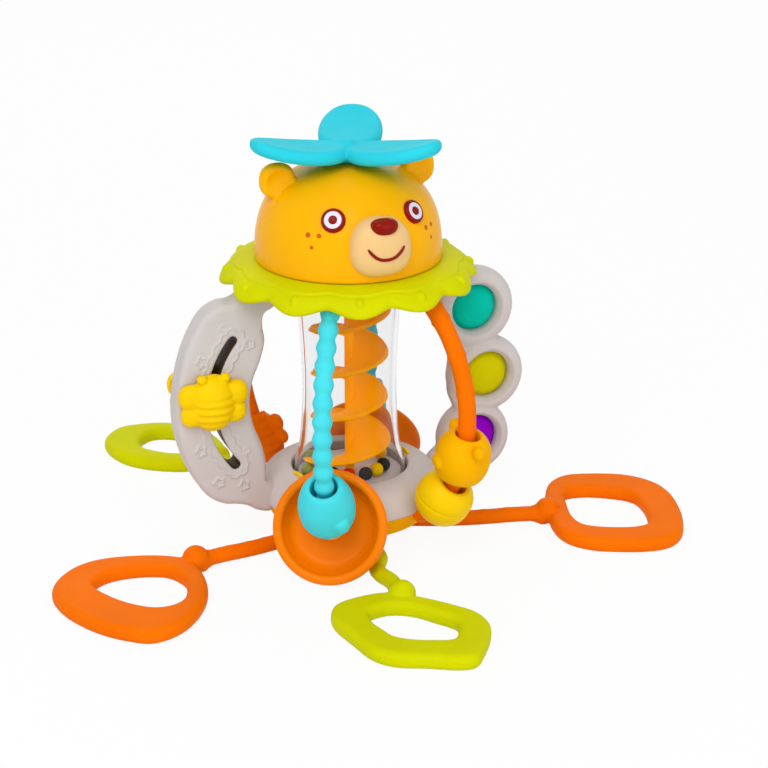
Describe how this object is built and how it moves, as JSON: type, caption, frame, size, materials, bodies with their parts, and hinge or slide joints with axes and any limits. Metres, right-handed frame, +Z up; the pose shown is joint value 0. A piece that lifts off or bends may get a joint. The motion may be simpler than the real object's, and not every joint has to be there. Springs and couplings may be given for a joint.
{
  "type": "sensory toy bear",
  "caption": "Baby's sensory toy: bear head with propeller on a clear ball tumbler, slotted handle, popper panel, bead arcs and pull rings on cords.",
  "frame": {"origin": "centre of the foot's underside, on the table", "axes": "+Z up through the tube's axis, the face looks along -Y, the popper panel is at +X and the slotted handle at -X"},
  "size_m": [0.3211, 0.3115, 0.2049],
  "materials": {
    "tray_yellow": "satin",
    "warm_gray": "satin",
    "lemon_plastic": "satin",
    "clear_tube": "polished, clear",
    "amber_slide": "polished, translucent",
    "orange_gloss": "polished",
    "olive_gloss": "polished",
    "black_gloss": "polished",
    "red_gloss": "polished",
    "golden_plastic": "polished",
    "lime_silicone": "soft satin",
    "cream_plastic": "satin",
    "dark_red_gloss": "polished",
    "white_gloss": "polished",
    "cyan_silicone": "soft satin",
    "orange_silicone": "soft satin",
    "teal_silicone": "soft satin",
    "yellow_green_silicone": "soft satin",
    "purple_silicone": "soft satin"
  },
  "bodies": {
    "base": {"foot_hub": "tray_yellow", "base_tray": "tray_yellow", "base_ring": "warm_gray", "snap_tab_left": "lemon_plastic", "snap_tab_right": "lemon_plastic", "tumble_tube": "clear_tube", "helix_slide": "amber_slide", "tumble_ball_01": "orange_gloss", "tumble_ball_02": "olive_gloss", "tumble_ball_03": "black_gloss", "tumble_ball_04": "red_gloss", "tumble_ball_05": "black_gloss", "tumble_ball_06": "lemon_plastic", "tumble_ball_07": "black_gloss", "tumble_ball_08": "orange_gloss", "tumble_ball_09": "olive_gloss", "tumble_ball_10": "golden_plastic", "head_floor": "golden_plastic", "collar": "lime_silicone", "head_shell": "golden_plastic", "muzzle": "cream_plastic", "nose": "dark_red_gloss", "smile": "dark_red_gloss", "eye_left": "white_gloss", "pupil_left": "dark_red_gloss", "eye_right": "white_gloss", "pupil_right": "dark_red_gloss", "propeller_pin": "warm_gray", "arc_cyan_front": "cyan_silicone", "dish_bush_front": "golden_plastic", "arc_cyan_back": "cyan_silicone", "dish_bush_back": "golden_plastic", "arc_orange_front": "orange_silicone", "arc_orange_back": "orange_silicone", "handle": "warm_gray", "panel": "warm_gray"},
    "propeller": {"propeller": "cyan_silicone"},
    "bee": {"bee_front": "lemon_plastic", "bee_back": "lemon_plastic", "bee_pin": "warm_gray"},
    "popper_top": {"popper_top": "teal_silicone"},
    "popper_middle": {"popper_middle": "yellow_green_silicone"},
    "popper_bottom": {"popper_bottom": "purple_silicone"},
    "dish_front": {"dish_front": "orange_gloss"},
    "dish_back": {"dish_back": "orange_gloss"},
    "bead_cyan_front": {"bead_cyan_front": "cyan_silicone"},
    "bead_cyan_back": {"bead_cyan_back": "cyan_silicone"},
    "bead_ball": {"bead_ball": "lemon_plastic"},
    "bead_bear": {"bead_bear": "golden_plastic"},
    "bead_bee": {"bead_bee": "orange_gloss"},
    "ring_left": {"ring_left": "orange_silicone", "cord_left": "orange_silicone"},
    "ring_front": {"ring_front": "lime_silicone", "cord_front": "lime_silicone"},
    "ring_right": {"ring_right": "orange_silicone", "cord_right": "orange_silicone"},
    "ring_back": {"ring_back": "lime_silicone", "cord_back": "lime_silicone"}
  },
  "joints": [
    {"name": "propeller_spin", "type": "hinge", "parent": "base", "child": "propeller", "pos_m": [0, 0, 0.19], "axis": [0, 0, 1], "continuous": true},
    {"name": "bee_slide", "type": "hinge", "parent": "base", "child": "bee", "pos_m": [-0.02161, 0, 0.07899], "axis": [0, 1, 0], "range_deg": [-42, 35]},
    {"name": "popper_top_push", "type": "slide", "parent": "base", "child": "popper_top", "axis": [0, 1, 0], "range_m": [0, 0.005]},
    {"name": "popper_middle_push", "type": "slide", "parent": "base", "child": "popper_middle", "axis": [0, 1, 0], "range_m": [0, 0.005]},
    {"name": "popper_bottom_push", "type": "slide", "parent": "base", "child": "popper_bottom", "axis": [0, 1, 0], "range_m": [0, 0.005]},
    {"name": "bead_cyan_front_slide", "type": "hinge", "parent": "base", "child": "bead_cyan_front", "pos_m": [0.00195, 0.00338, 0.077], "axis": [-0.866, 0.5, 0], "range_deg": [0, 54]},
    {"name": "bead_cyan_back_slide", "type": "hinge", "parent": "base", "child": "bead_cyan_back", "pos_m": [-0.00195, -0.00338, 0.077], "axis": [0.866, -0.5, 0], "range_deg": [0, 54]},
    {"name": "bead_bear_slide", "type": "hinge", "parent": "base", "child": "bead_bear", "pos_m": [-0.00195, 0.00338, 0.077], "axis": [-0.866, -0.5, 0], "range_deg": [0, 42]},
    {"name": "bead_bee_slide", "type": "hinge", "parent": "base", "child": "bead_bee", "pos_m": [0.00195, -0.00338, 0.077], "axis": [0.866, 0.5, 0], "range_deg": [0, 58]},
    {"name": "bead_ball_spin", "type": "hinge", "parent": "base", "child": "bead_ball", "pos_m": [0.02943, -0.05097, 0.0343], "axis": [0.2813, -0.4872, 0.8268], "continuous": true},
    {"name": "dish_front_spin", "type": "hinge", "parent": "base", "child": "dish_front", "pos_m": [-0.02255, -0.03906, 0.022], "axis": [-0.4532, -0.7849, 0.4226], "continuous": true},
    {"name": "dish_back_spin", "type": "hinge", "parent": "base", "child": "dish_back", "pos_m": [0.02255, 0.03906, 0.022], "axis": [0.4532, 0.7849, 0.4226], "continuous": true},
    {"name": "ring_left_pull", "type": "slide", "parent": "base", "child": "ring_left", "axis": [-0.9799, -0.1994, 0], "range_m": [-0.03, 0.03], "deforming": ["cord_left"]},
    {"name": "ring_right_pull", "type": "slide", "parent": "base", "child": "ring_right", "axis": [0.9613, -0.2756, 0], "range_m": [-0.03, 0.03], "deforming": ["cord_right"]},
    {"name": "ring_front_pull", "type": "slide", "parent": "base", "child": "ring_front", "axis": [-0.0715, -0.9974, 0], "range_m": [-0.012, 0.03], "deforming": ["cord_front"]},
    {"name": "ring_back_pull", "type": "slide", "parent": "base", "child": "ring_back", "axis": [-0.3746, 0.9272, 0], "range_m": [-0.03, 0.012], "deforming": ["cord_back"]}
  ],
  "couplings": [
    {"joint": "ring_right_pull", "follows": "ring_left_pull", "ratio": -1},
    {"joint": "ring_back_pull", "follows": "ring_front_pull", "ratio": -1}
  ]
}
